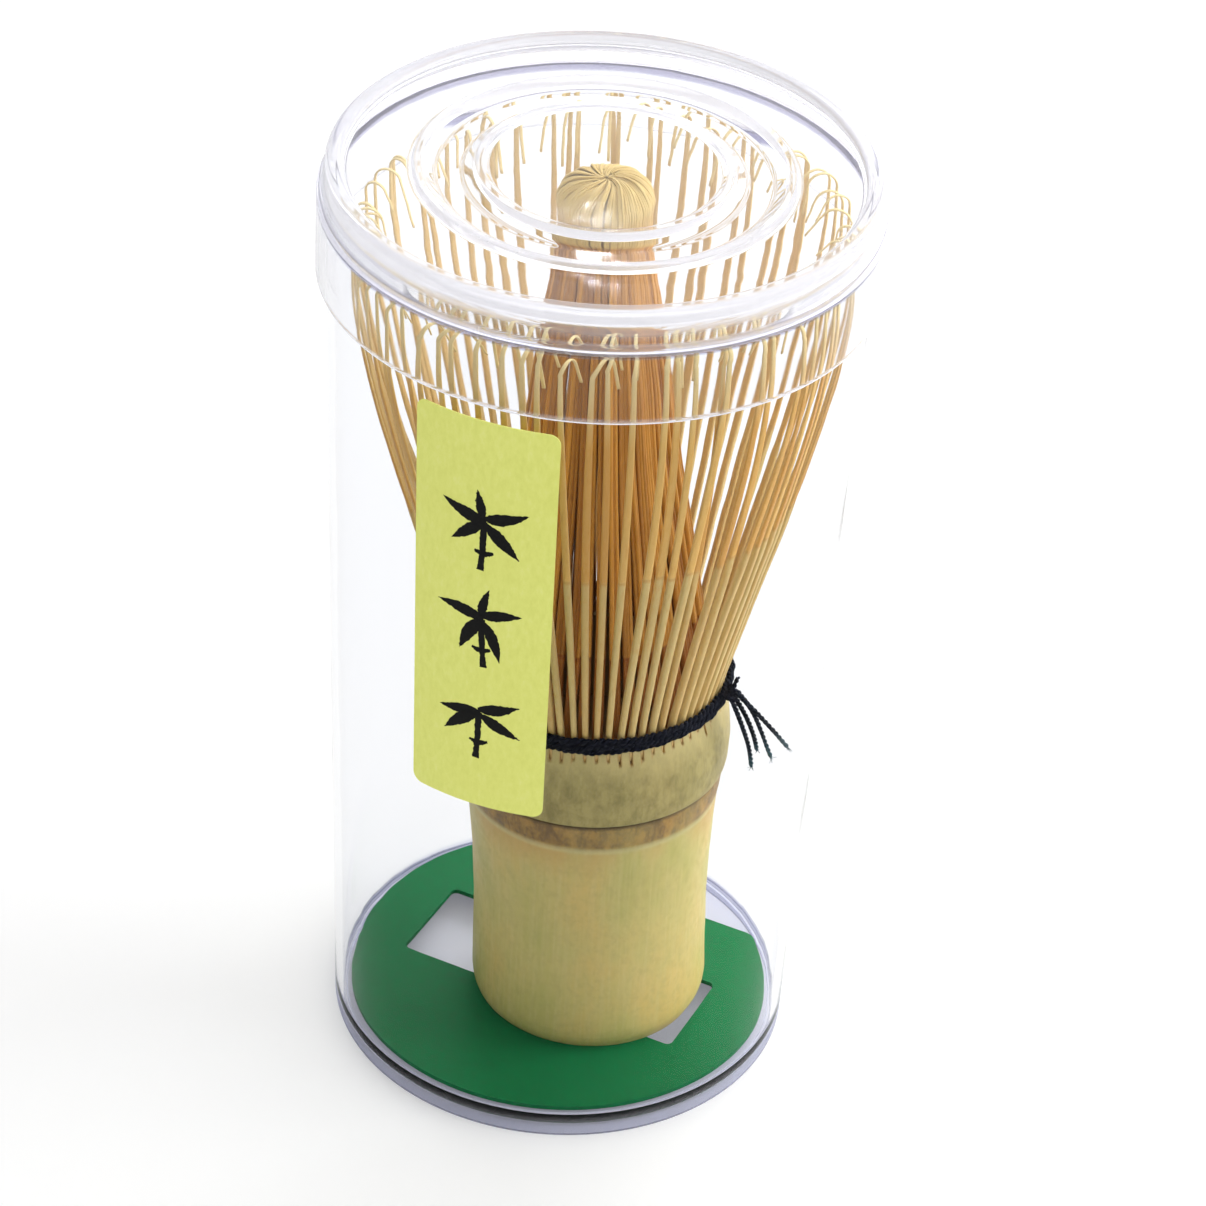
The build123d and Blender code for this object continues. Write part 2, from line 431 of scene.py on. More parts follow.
def clear_plastic(name, tint, edge_tint, roughness, wave, mirror_power, haze, edge_haze_and_highlight, graze):
    """Clear moulded plastic, a little wavy, that lets lamps through.

    Its tone goes from CLEAR to EDGE for tinted, milky edges, and on to RIM for the lilac
    of the mouth's rim. haze, edge_haze_and_highlight and graze are the milky share of clear
    walls, of edges, and of walls seen at a shallow angle. The milk on edges is partly haze
    and partly painted highlight.
    """
    mat, tree, out = new_material(name)
    tone = attribute(tree, "tone")
    edge = remap(tree, tone, CLEAR, EDGE)
    rim = remap(tree, tone, EDGE, RIM)
    flow = stretched_noise(tree, (90, 90, 45), detail=2.0)
    normal = bump(tree, flow, wave, 0.0006)
    grain = stretched_noise(tree, (400, 400, 400))
    rough = remap(tree, grain, 0.3, 0.8, roughness * 0.6, roughness * 1.5)
    bend = node(tree, "ShaderNodeBsdfRefraction")
    passed = mix_colour(tree, edge, tint, edge_tint)
    tree.links.new(mix_colour(tree, rim, passed, RIM_TINT), bend.inputs["Color"])
    bend.inputs["IOR"].default_value = PLASTIC_IOR
    mirror = node(tree, "ShaderNodeBsdfGlossy")
    shine = mix_colour(tree, edge, WHITE, edge_tint)
    tree.links.new(mix_colour(tree, rim, shine, RIM_TINT), mirror.inputs["Color"])
    for shader in (bend, mirror):
        tree.links.new(rough, shader.inputs["Roughness"])
        tree.links.new(normal, shader.inputs["Normal"])
    fresnel = node(tree, "ShaderNodeFresnel", {"Normal": normal})
    fresnel.inputs["IOR"].default_value = PLASTIC_IOR
    glass = mix_shader(tree, math_node(tree, "POWER", fresnel.outputs[0], mirror_power), bend, mirror)
    milk_and_highlight = node(tree, "ShaderNodeBsdfDiffuse")
    milk_and_highlight.inputs["Color"].default_value = MILK_AND_HIGHLIGHT_TINT
    cloud = remap(tree, stretched_noise(tree, (60, 60, 60)), 0.3, 0.7, 0.8, 1.2)
    # Painted highlight: the milk on edges paints white highlight bands as well as haze
    cloud = times(tree, cloud, remap(tree, tone, CLEAR, EDGE, haze, edge_haze_and_highlight))
    cloud = math_node(tree, "ADD", cloud, remap(tree, fresnel.outputs[0], 0.09, 0.5, 0.0, graze))
    cloud = times(tree, cloud, remap(tree, rim, 0.0, 1.0, 1.0, 0.3))
    glass = mix_shader(tree, cloud, glass, milk_and_highlight)
    clear = node(tree, "ShaderNodeBsdfTransparent")
    clear.inputs["Color"].default_value = LAMP_TINT
    path = node(tree, "ShaderNodeLightPath")
    mix = mix_shader(tree, path.outputs["Is Shadow Ray"], glass, clear)
    tree.links.new(mix.outputs[0], out.inputs["Surface"])
    return mat


def culm_body_colour(tree, fibre, grain, patch):
    olive, straw, ochre = (0.46, 0.43, 0.12), (0.57, 0.48, 0.155), (0.66, 0.48, 0.15)
    base = ramp(tree, patch, [(0.32, olive), (0.5, straw), (0.68, ochre)])
    base = mix_colour(tree, remap(tree, fibre, 0.4, 0.75, 0.0, 0.35), base, (0.68, 0.58, 0.27))
    return mix_colour(tree, remap(tree, grain, 0.45, 0.8, 0.0, 0.5), base, (0.40, 0.33, 0.11))


def culm_top_colour(tree, height, speck):
    """The mottled skin above the node, paler towards the tines."""
    mottled = mix_colour(tree, remap(tree, speck, 0.36, 0.6), (0.20, 0.165, 0.052), (0.39, 0.315, 0.115))
    return mix_colour(tree, remap(tree, height, 42.0, 46.5, 0.0, 0.75), mottled, (0.62, 0.50, 0.22))


def bamboo_skin():
    """The culm: fine long fibres, olive and orange mottling, and a darker node.

    The heights are the node's: a blush below it, a pale ridge, a smeared brown scar, and
    a painted shadow under the lip of the upper part.
    """
    mat, tree, out = new_material("bamboo_culm")
    height = attribute(tree, "along")
    inside = attribute(tree, "tone")
    fibre = stretched_noise(tree, (2600, 2600, 60), detail=5.0)
    grain = stretched_noise(tree, (1100, 1100, 900), detail=4.0, roughness=0.7)
    patch = stretched_noise(tree, (95, 95, 55), detail=4.0)
    speck = stretched_noise(tree, (700, 700, 380), detail=5.0, roughness=0.75)
    base = culm_body_colour(tree, fibre, grain, patch)
    top = times(tree, remap(tree, height, 34.8, 36.2), 0.8)
    base = mix_colour(tree, top, base, culm_top_colour(tree, height, speck))
    scar = between(tree, height, 31.4, 32.4, 35.4, 36.0)
    scar = times(tree, scar, remap(tree, patch, 0.25, 0.6, 0.55, 0.95))
    smear = mix_colour(tree, remap(tree, speck, 0.4, 0.62), (0.17, 0.10, 0.04), (0.40, 0.225, 0.055))
    base = mix_colour(tree, scar, base, smear)
    ridge = times(tree, between(tree, height, 30.9, 31.4, 31.7, 32.2), 0.35)
    base = mix_colour(tree, ridge, base, (0.55, 0.50, 0.28))
    blush = between(tree, height, 27.0, 30.8, 31.0, 31.4)
    blush = times(tree, blush, remap(tree, patch, 0.42, 0.62, 0.0, 0.6))
    base = mix_colour(tree, blush, base, (0.55, 0.34, 0.11))
    # Painted shadow: a dark line under the overhanging lip of the upper part
    lip_shadow = times(tree, between(tree, height, 34.9, 35.45, 35.65, 36.1), 0.85)
    base = mix_colour(tree, lip_shadow, base, (0.07, 0.05, 0.025))
    # The bore's brown is the culm's inside, and also painted shade on the columns beside the slits
    base = mix_colour(tree, remap(tree, inside, SKIN, BORE), base, (0.44, 0.27, 0.09))
    # Painted shade: the slits between the tines go almost black
    base = mix_colour(tree, remap(tree, inside, BORE, SLIT_SHADE), base, (0.07, 0.035, 0.015))
    rough = remap(tree, grain, 0.2, 0.8, 0.36, 0.56)
    principled(tree, out, base, rough, bump(tree, grain, 0.3, 0.00010), Specular_IOR_Level=0.35)
    return mat


def split_bamboo(name, skin, shaved, dark, tip, shave_at, backlit_tip_at):
    """Split tines: skin below the shaving line and bare fibre above, each with its own tone, with
    painted light on the tips and on the inner faces.

    shave_at and backlit_tip_at are shares of a tine's height.
    """
    mat, tree, out = new_material(name)
    height = attribute(tree, "along")
    tone = attribute(tree, "tone")
    fibre = stretched_noise(tree, (3000, 3000, 90), detail=4.0)
    blotch = stretched_noise(tree, (160, 160, 60), detail=2.0)
    bare = remap(tree, height, shave_at - 0.002, shave_at + 0.004)
    base = mix_colour(tree, bare, skin, shaved)
    base = mix_colour(tree, remap(tree, blotch, 0.45, 0.7, 0.0, 0.25), base, skin)
    deep = remap(tree, tone, 0.3, 1.0, 0.0, 0.7)
    deep = times(tree, deep, remap(tree, bare, 0.0, 1.0, 0.35, 1.0))
    base = mix_colour(tree, deep, base, dark)
    base = mix_colour(tree, remap(tree, fibre, 0.5, 0.75, 0.0, 0.35), base, dark)
    step = between(tree, height, shave_at - 0.009, shave_at - 0.003, shave_at, shave_at + 0.002)
    base = mix_colour(tree, times(tree, step, 0.5), base, dark)
    # Painted light: the tips are brightened, standing in for light shining through them
    base = mix_colour(tree, remap(tree, height, *backlit_tip_at), base, tip)
    # Painted light: the inner faces go pale golden, standing in for light shining through the thin tines
    back = remap(tree, tone, 0.0, 1.0 - LIT_INNER_FACE, 0.0, 0.65)
    base = mix_colour(tree, back, base, (0.86, 0.68, 0.34))
    rough = remap(tree, fibre, 0.2, 0.8, 0.38, 0.58)
    principled(tree, out, base, rough, bump(tree, fibre, 0.4, 0.00006), Specular_IOR_Level=0.35)
    return mat


def thread_material(name, base, end):
    mat, tree, out = new_material(name)
    fibre = stretched_noise(tree, (5000, 5000, 5000), detail=3.0)
    shade, light = tuple(0.6 * c for c in base), tuple(2.0 * c for c in base)
    colour = ramp(tree, fibre, [(0.3, shade), (0.75, light)])
    worn = remap(tree, attribute(tree, "along"), 0.72, 1.0, 0.0, 0.8)
    colour = mix_colour(tree, worn, colour, end)
    fuzz = {"Specular_IOR_Level": 0.1, "Sheen_Weight": 0.03, "Sheen_Roughness": 0.5}
    principled(tree, out, colour, 0.85, bump(tree, fibre, 0.6, 0.00008), **fuzz)
    return mat


def paper_material():
    mat, tree, out = new_material("label_paper")
    fibre = stretched_noise(tree, (1500, 1500, 700), detail=6.0, roughness=0.7)
    cloud = stretched_noise(tree, (120, 120, 90), detail=3.0)
    deep, mid, pale = (0.80, 0.84, 0.18), (0.86, 0.90, 0.22), (0.90, 0.93, 0.30)
    base = ramp(tree, fibre, [(0.32, deep), (0.55, mid), (0.75, pale)])
    base = mix_colour(tree, remap(tree, cloud, 0.4, 0.7, 0.0, 0.2), base, (0.80, 0.81, 0.16))
    rough = remap(tree, fibre, 0.2, 0.8, 0.55, 0.8)
    principled(tree, out, base, rough, bump(tree, fibre, 0.3, 0.00005))
    return mat


def ink_material():
    mat, tree, out = new_material("label_ink")
    grain = stretched_noise(tree, (2500, 2500, 2500), detail=4.0)
    base = ramp(tree, grain, [(0.35, (0.003, 0.003, 0.003)), (0.8, (0.012, 0.012, 0.011))])
    rough = remap(tree, grain, 0.2, 0.8, 0.5, 0.75)
    principled(tree, out, base, rough, bump(tree, grain, 0.2, 0.00003), Specular_IOR_Level=0.1)
    return mat


def card_material():
    mat, tree, out = new_material("green_card")
    fibre = stretched_noise(tree, (1200, 1200, 1200), detail=6.0, roughness=0.7)
    cloud = stretched_noise(tree, (60, 60, 60), detail=2.0)
    deep, mid, pale = (0.003, 0.135, 0.04), (0.005, 0.18, 0.055), (0.012, 0.24, 0.085)
    base = ramp(tree, fibre, [(0.3, deep), (0.55, mid), (0.8, pale)])
    base = mix_colour(tree, remap(tree, cloud, 0.35, 0.7, 0.0, 0.3), base, (0.006, 0.21, 0.07))
    rough = remap(tree, fibre, 0.2, 0.8, 0.45, 0.7)
    principled(tree, out, base, rough, bump(tree, fibre, 0.25, 0.00006), Specular_IOR_Level=0.15)
    return mat


def floor_material():
    mat, tree, out = new_material("studio_floor")
    cloud = stretched_noise(tree, (3, 3, 3), detail=2.0)
    base = ramp(tree, cloud, [(0.3, (0.80, 0.80, 0.80)), (0.7, (0.83, 0.83, 0.83))])
    glow = {"Emission_Color": (*WHITE, 1.0), "Emission_Strength": 0.22}
    principled(tree, out, base, 0.9, Specular_IOR_Level=0.1, **glow)
    return mat


case_plastic = clear_plastic(
    "clear_cup",
    tint=(0.972, 0.975, 0.982),
    edge_tint=(0.72, 0.73, 0.83),
    roughness=0.02,
    wave=0.05,
    mirror_power=2.2,
    haze=0.001,
    edge_haze_and_highlight=0.10,
    graze=0.04,
)
lid_plastic = clear_plastic(
    "clear_lid",
    tint=(0.985, 0.985, 0.99),
    edge_tint=(0.96, 0.96, 0.985),
    roughness=0.04,
    wave=0.10,
    mirror_power=1.6,
    haze=0.003,
    edge_haze_and_highlight=0.32,
    graze=0.30,
)
culm_mat = bamboo_skin()
outer_mat = split_bamboo(
    "bamboo_outer",
    skin=(0.70, 0.52, 0.205),
    shaved=(0.80, 0.49, 0.14),
    dark=(0.62, 0.28, 0.05),
    tip=(0.95, 0.78, 0.38),
    shave_at=0.45,
    backlit_tip_at=(0.76, 0.95),
)
inner_mat = split_bamboo(
    "bamboo_inner",
    skin=(0.44, 0.17, 0.03),
    shaved=(0.66, 0.32, 0.055),
    dark=(0.22, 0.065, 0.008),
    tip=(0.76, 0.56, 0.20),
    shave_at=0.18,
    backlit_tip_at=(0.90, 0.98),
)
thread_mat = thread_material("binding_thread", (0.004, 0.005, 0.011), (0.006, 0.008, 0.015))
end_mat = thread_material("thread_ends", (0.005, 0.008, 0.015), (0.04, 0.11, 0.13))
paper_mat = paper_material()
ink_mat = ink_material()
card_mat = card_material()
floor_mat = floor_material()


def finish_piece(obj, mat, body, slot, *nodes):
    obj.data.materials.append(mat)
    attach(obj, body)
    if nodes:
        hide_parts(*nodes)


# ---------------------------------------------------------------- cup and lid
# Both are turned from corners as (radius, height, rounding, tone)
def cup_radius(z):
    return CUP_FOOT_R + CUP_TAPER * z


def make_cup():
    def outside(z):
        return cup_radius(z), z

    def within(z):
        return cup_radius(z) - CUP_WALL, z

    foot_edge = 0.9 * EDGE
    corners = [
        (*outside(0), 0.3, foot_edge),
        (*outside(FLOOR_UNDER), 0.0, foot_edge),
        (*outside(FLOOR_TOP + 0.4), 0.0, CLEAR),
        (*outside(CUP_H - CUP_LIP), 0.0, CLEAR),
        (*outside(CUP_H), 0.4, RIM),
        (*within(CUP_H), 0.4, RIM),
        (*within(CUP_H - CUP_LIP), 0.0, CLEAR),
        (*within(FLOOR_TOP), 0.8, CLEAR),
        (0.0, FLOOR_TOP, 0.0, CLEAR),
        (0.0, FLOOR_UNDER, 0.0, CLEAR),
        (*within(FLOOR_UNDER), 0.4, foot_edge),
        (*within(0), 0.3, foot_edge),
    ]
    return turned("cup_clear", corners, guard=0.1)


def make_lid():
    """Up the skirt, over the bead and the rings to the middle, and back underneath."""
    top = LID_TOP_Z
    plate, disc, trough, ring = top - 1.0, top - 0.7, top - 1.6, top - 0.3
    under = LID_PLATE_T
    # The high tones on the bead and the rings paint their white highlight bands in milk, along with haze
    corners = [
        (LID_SKIRT_R, LID_SKIRT_Z, 0.25, 0.5),
        (LID_SKIRT_R, LID_SKIRT_Z + 0.7, 0.0, 0.02),
        (LID_SKIRT_R, top - 4.0, 1.2, 0.03),
        (LID_BEAD_R, top - 2.4, 1.0, 0.9),
        (LID_BEAD_R, top, 0.85, EDGE),
        (29.6, top, 0.85, EDGE),
        (29.4, plate, 0.5, 0.6),
        (28.4, plate, 0.0, 0.03),
        (22.1, plate, 0.4, 0.05),
        (21.5, ring, 0.4, 0.8),
        (20.7, ring, 0.4, 0.8),
        (19.2, trough, 0.8, 0.2),
        (16.1, trough, 0.8, 0.2),
        (14.6, ring, 0.4, 0.8),
        (13.8, ring, 0.4, 0.8),
        (13.2, disc, 0.4, 0.2),
        (0.0, disc, 0.0, CLEAR),
        (0.0, disc - under, 0.0, CLEAR),
        (14.3, disc - under, 0.3, 0.05),
        (16.2, trough - under, 0.5, 0.05),
        (19.0, trough - under, 0.5, 0.05),
        (21.1, plate - under, 0.3, 0.05),
        (LID_NECK_IN_R, plate - under, 0.6, 0.05),
        (LID_NECK_IN_R, LID_LEDGE_Z + 0.8, 0.0, 0.02),
        (LID_NECK_IN_R, LID_LEDGE_Z, 0.2, 1.4),
        (LID_SKIRT_IN_R, LID_LEDGE_Z, 0.2, 1.5),
        (LID_SKIRT_IN_R, LID_LEDGE_Z - 0.4, 0.0, 0.02),
        (LID_SKIRT_IN_R, LID_SKIRT_Z + 0.6, 0.0, 0.02),
        (LID_SKIRT_IN_R, LID_SKIRT_Z, 0.25, 0.5),
    ]
    return turned("lid_clear", corners, guard=0.06)


finish_piece(make_cup(), case_plastic, "case", "clear_plastic", "cup")
finish_piece(make_lid(), lid_plastic, "lid", "lid_plastic", "lid")


# ---------------------------------------------------------------- label
LABEL_MID_R = cup_radius((LABEL_Z0 + LABEL_Z1) / 2)
LABEL_W = LABEL_MID_R * (LABEL_RIGHT - LABEL_LEFT)
LABEL_H = LABEL_Z1 - LABEL_Z0


def on_label(u, v, lift):
    """Point on the cup at u mm across from the label's left edge, v mm up from its foot."""
    azimuth = LABEL_LEFT + u / LABEL_MID_R
    z = LABEL_Z0 + v
    r = cup_radius(z) + lift
    return np.stack([r * np.sin(azimuth), -r * np.cos(azimuth), z + 0 * azimuth], -1)


def make_label():
    """A sheet of paper with round corners, wrapped on the cup."""
    dense = LABEL_CORNER * (1 - np.cos(np.linspace(0, math.pi / 2, 8)))
    middle = np.linspace(LABEL_CORNER, LABEL_H - LABEL_CORNER, 60)[1:-1]
    rows = np.concatenate([dense, middle, (LABEL_H - dense)[::-1]])
    past = np.maximum(np.maximum(LABEL_CORNER - rows, rows - (LABEL_H - LABEL_CORNER)), 0)
    inset = LABEL_CORNER - np.sqrt(np.maximum(LABEL_CORNER**2 - past**2, 0))
    s = np.linspace(0, 1, 30)[None]
    u = inset[:, None] + s * (LABEL_W - 2 * inset[:, None])
    v = rows[:, None] + 0 * u
    ring = np.concatenate([on_label(u, v, PAPER_FRONT), on_label(u, v, PAPER_BACK)[:, ::-1]], axis=1)
    build = Build()
    build.grid(ring)
    return build.object("label_paper", sharp=40)


def brush(build, points, widths):
    """One brush stroke on the label: a line of (across, up) points with a width along it."""
    count = 26
    line = smooth_line(points, count)
    half = np.interp(np.linspace(0, 1, count), np.linspace(0, 1, len(widths)), widths) / 2
    t = unit(np.gradient(line, axis=0))
    n = np.stack([-t[:, 1], t[:, 0]], -1)
    ragged = rng.normal(0, 0.035, (count, 2))
    sides = np.linspace(-1, 1, 5)
    jitter = np.where(sides < 0, ragged[:, :1], ragged[:, 1:]) * np.abs(sides)
    flat = line[:, None] + n[:, None] * (sides * half[:, None] + jitter)[..., None]
    build.grid(on_label(flat[..., 0], flat[..., 1], INK_LIFT), wrap=False, caps=False)


def leaf(build, root, angle, length, width, bend):
    """A bamboo leaf: a stroke that swells and runs out to a point."""
    a = math.radians(angle)
    along = np.array((math.cos(a), math.sin(a)))
    across = np.array((-along[1], along[0]))
    s = np.array((0.0, 0.3, 0.65, 1.0))
    points = np.array(root) + length * (s[:, None] * along + (bend * s * s)[:, None] * across)
    brush(build, points, [0.25 * width, 0.8 * width, width, 0.85 * width, 0.5 * width, 0.05])


# Sprigs as (height of the foot, lean in degrees, leaves), leaves as (angle, length, width)
SPRIGS = (
    (35.2, 4, [(170, 5.6, 1.7), (8, 5.4, 1.6), (222, 5.2, 1.5), (318, 5.6, 1.7), (100, 4.0, 1.2)]),
    (21.6, -5, [(160, 5.8, 1.6), (24, 5.0, 1.5), (236, 5.4, 1.7), (300, 5.6, 1.5), (84, 4.2, 1.2)]),
    (8.2, 3, [(176, 5.4, 1.5), (12, 5.2, 1.6), (214, 5.6, 1.7), (330, 5.4, 1.6)]),
)


def make_ink():
    """A generic brushed bamboo motif: three sprigs, one above the other."""
    build = Build()
    mid = LABEL_W * 0.52
    for foot, lean, leaves in SPRIGS:
        dx = math.sin(math.radians(lean))
        centre = np.array((mid, foot + 5.6))
        stem = [(mid - 4.6 * dx, foot - 1.2), (mid - 2 * dx, foot + 1.5), tuple(centre)]
        brush(build, stem, [0.9, 0.7, 0.8, 0.9])
        for k, (angle, length, width) in enumerate(leaves):
            root = centre + np.array((0.25 * math.cos(k * 2.1), 0.35 * math.sin(k * 1.7)))
            own_angle = angle + rng.normal(0, 4)
            leaf(build, root, own_angle, length, width, rng.uniform(-0.2, 0.2))
        joint = [(mid - 1.1, foot + 1.4), (mid, foot + 1.15), (mid + 1.2, foot + 1.5)]
        brush(build, joint, [0.3, 0.9, 0.35])
    return build.object("label_ink")


rng = np.random.default_rng(SEED)
finish_piece(make_label(), paper_mat, "case", "label_paper", "label")
finish_piece(make_ink(), ink_mat, "case", "label_paper")

card_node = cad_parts["card"]
card_node.data.materials.clear()
card_node.data.materials.append(card_mat)


# ---------------------------------------------------------------- culm
# The culm's outside as (height, radius)
HANDLE_FOOT = [(-1, 13.6), (0, 14.05), (0.4, 14.3), (0.9, 14.52), (1.6, 14.7), (2.6, 14.8)]
HANDLE = HANDLE_FOOT + [(7, 14.72), (14, 14.6), (22, 14.78), (28, 15.15), (SCAR_H, 15.5)]
SCAR = [(SCAR_H, 15.62), (33.2, 15.78), (34.6, 15.86), (35.3, 15.82)]
LIP = [(LIP_H, 15.9), (36.0, 16.32), (37.0, 16.5), (40.0, 16.7)]
UPPER = LIP + [(43.0, 16.55), (45.0, 16.2), (46.2, 15.9), (47.3, 15.82)]
# Its inside as (height, radius), down through the bowl at its top and then the handle
BOWL = [(CULM_TOP_H, 12.4), (40.0, 12.4), (35.2, 12.2), (35.0, 0.02)]
HOLLOW = [(31.5, 0.02), (31.5, 10.8), (31.0, 11.2), (16.0, 11.2), (-0.7, 11.2)]
# Rows of the mesh as (from, to, how many)
CULM_ROWS = (
    (-0.7, 3, 24),
    (3.5, 31, 50),
    (31.15, 33, 14),
    (33.2, 36.6, 40),
    (36.8, 42.8, 24),
    (43.0, 45.0, 12),
    (45.1, CULM_TOP_H, 30),
)
COLS_PER_TINE = 8
SLIT_DEPTH = 0.55


def culm_radius(h):
    """Outer radius of the culm by height along its axis."""
    groove = -0.22 * np.exp(-(((h - GROOVE_H) / 0.16) ** 2))
    to_scar = 1 / (1 + np.exp(-(h - SCAR_H) / 0.3))
    to_lip = 1 / (1 + np.exp(-(h - LIP_H) / 0.06))
    below = profile(h, HANDLE) * (1 - to_scar) + profile(h, SCAR) * to_scar
    return below * (1 - to_lip) + profile(h, UPPER) * to_lip + groove


def culm_skin(angle, rows):
    """Points and tones of the outside: out of round, and slit between the tines at its top, with painted
    shade in the slits and beside them.
    """
    tines = SECTIONS * OUTER_PER_SECTION
    wave = 0.012 * np.cos(2 * angle + 0.6) + 0.004 * np.cos(3 * angle + 2.0)
    fade = np.clip(rows / TINE_ROOT_H, 0, 1) * (1 - np.clip((rows - 40) / 6, 0, 1))
    r = culm_radius(rows) * (1 + wave * fade)
    node_wave = 0.25 * np.cos(angle + 0.8) + 0.12 * np.cos(2 * angle)
    h = rows + node_wave * np.exp(-(((rows - 34.5) / 4.0) ** 2))
    slit_foot = rng.uniform(44.6, 45.8, tines)
    slit_foot[rng.integers(0, tines, 9)] -= rng.uniform(0.5, 1.8, 9)
    shifted = np.arange(len(angle)) + COLS_PER_TINE // 2
    across = shifted % COLS_PER_TINE
    which = shifted // COLS_PER_TINE % tines
    opened = np.clip((rows - slit_foot[which]) / 0.5, 0, 1)
    r = r - np.where(across == 0, SLIT_DEPTH, 0.0) * opened
    # Painted shade: the slit columns go dark, and the columns beside them take most of the bore's brown
    tone = opened * (SLIT_SHADE * (across == 0) + 0.8 * np.isin(across, (1, COLS_PER_TINE - 1)))
    return polar(r, angle, h), tone


def make_culm():
    cols = SECTIONS * OUTER_PER_SECTION * COLS_PER_TINE
    angle = np.linspace(0, FULL_TURN, cols, endpoint=False)
    heights = np.concatenate([np.linspace(*rows) for rows in CULM_ROWS])
    skin, skin_tone = culm_skin(angle, heights[:, None])
    inner_h, inner_r = np.array(BOWL + HOLLOW).T
    inside = polar(inner_r[:, None], angle, inner_h[:, None] + 0 * angle)
    tone = np.concatenate([skin_tone, np.full(inside.shape[:2], BORE)])
    along = np.concatenate([heights, inner_h])
    build = Build()
    build.grid(np.concatenate([skin, inside]), loop=True, tone=tone, along=along)
    obj = build.object("culm_bamboo", place=WHISK_PLACE, sharp=60)
    # The culm leans, so the low side of its foot is kept out of the card
    foot = (CARD_TOP + 0.01) * MM
    for v in obj.data.vertices:
        v.co.z = max(v.co.z, foot)
    return obj


finish_piece(make_culm(), culm_mat, "whisk", "bamboo_culm", "culm")


# ---------------------------------------------------------------- tines
# Middle lines as (radius, height), from the culm up
OUTER_LINE = (
    (15.2, 45.4),
    (15.45, 48.6),
    (16.7, 53.6),
    (19.5, 63.8),
    (22.1, 73.0),
    (24.5, 81.8),
    (27.1, 93.0),
    (28.5, 102.0),
    (28.75, 108.0),
)
INNER_LINE = (
    (13.7, 45.6),
    (13.5, 50.5),
    (12.2, 58.5),
    (10.9, 66.3),
    (8.6, 80.5),
    (7.3, 92.3),
    (6.0, 101.0),
    (5.2, 107.0),
    (5.15, 110.6),
)
# An outer tine's section as (height, width, thickness): it thins suddenly at the shaving line
OUTER_SECTION = (
    (46, 0.76, 1.10),
    (49, 0.76, 1.00),
    (62, 0.86, 0.90),
    (75, 0.92, 0.80),
    (77, 0.98, 0.45),
    (90, 0.92, 0.36),
    (100, 0.76, 0.30),
    (107, 0.58, 0.26),
    (110, 0.50, 0.24),
)
# A fibre's section as (share of its length, width, thickness)
FIBRE_SECTION = (
    (0, 0.58, 1.0),
    (0.15, 0.54, 0.9),
    (0.4, 0.42, 0.6),
    (0.55, 0.34, 0.45),
    (0.8, 0.30, 0.3),
    (1, 0.16, 0.1),
)
# How far the fibres of an inner tine part, as (height, angle)
FIBRE_SPREAD = ((46, 0.027), (60, 0.032), (80, 0.038), (105, 0.043))
WIDTH, THICKNESS = 1, 2
OUTER_LIMIT_R = 29.0
TUFT_R = 5.4
STEM_POINTS = 34
HOOK_POINTS = 16
TAIL_POINTS = 6


def tine(build, r, azimuth, h, width, thick, tone, shift=0.0, lit_inner_face=False):
    """A split tine: a rounded flat strip along its line. An inner face with painted light on it has
    tones below 0.
    """
    path = polar(r, azimuth, h)
    t = unit(np.gradient(path, axis=0))
    side = polar(1.0, azimuth + math.pi / 2, np.zeros_like(azimuth))
    side = unit(side - t * np.sum(side * t, axis=1, keepdims=True))
    face = np.cross(side, t)
    high = np.clip((h - TINE_ROOT_H) / (TINE_TOP_H - TINE_ROOT_H), 0, 1)
    high = np.maximum.accumulate(high) + shift
    a = np.linspace(0, FULL_TURN, 8, endpoint=False) + math.pi / 8
    c = np.sign(np.cos(a)) * np.abs(np.cos(a)) ** 0.6
    s = np.sign(np.sin(a)) * np.abs(np.sin(a)) ** 0.6
    half_w = np.asarray(width)[:, None, None] / 2
    half_t = np.asarray(thick)[:, None, None] / 2
    across = half_w * c[None, :, None] * side[:, None]
    through = half_t * s[None, :, None] * face[:, None]
    pts = path[:, None] + across + through
    build.grid(pts, tone=tone - LIT_INNER_FACE * (lit_inner_face & (s < 0)), along=high)


def hook(line, start_angle, radius, turn, count):
    """Carries an (r, h) line on into an arc that curls towards the whisk's axis."""
    a = start_angle + np.linspace(0, 1, count)[1:] * turn
    centre = line[-1] + radius * np.array((-math.sin(start_angle), math.cos(start_angle)))
    arc = centre + radius * np.stack([np.sin(a), -np.cos(a)], -1)
    return np.vstack([line, arc])


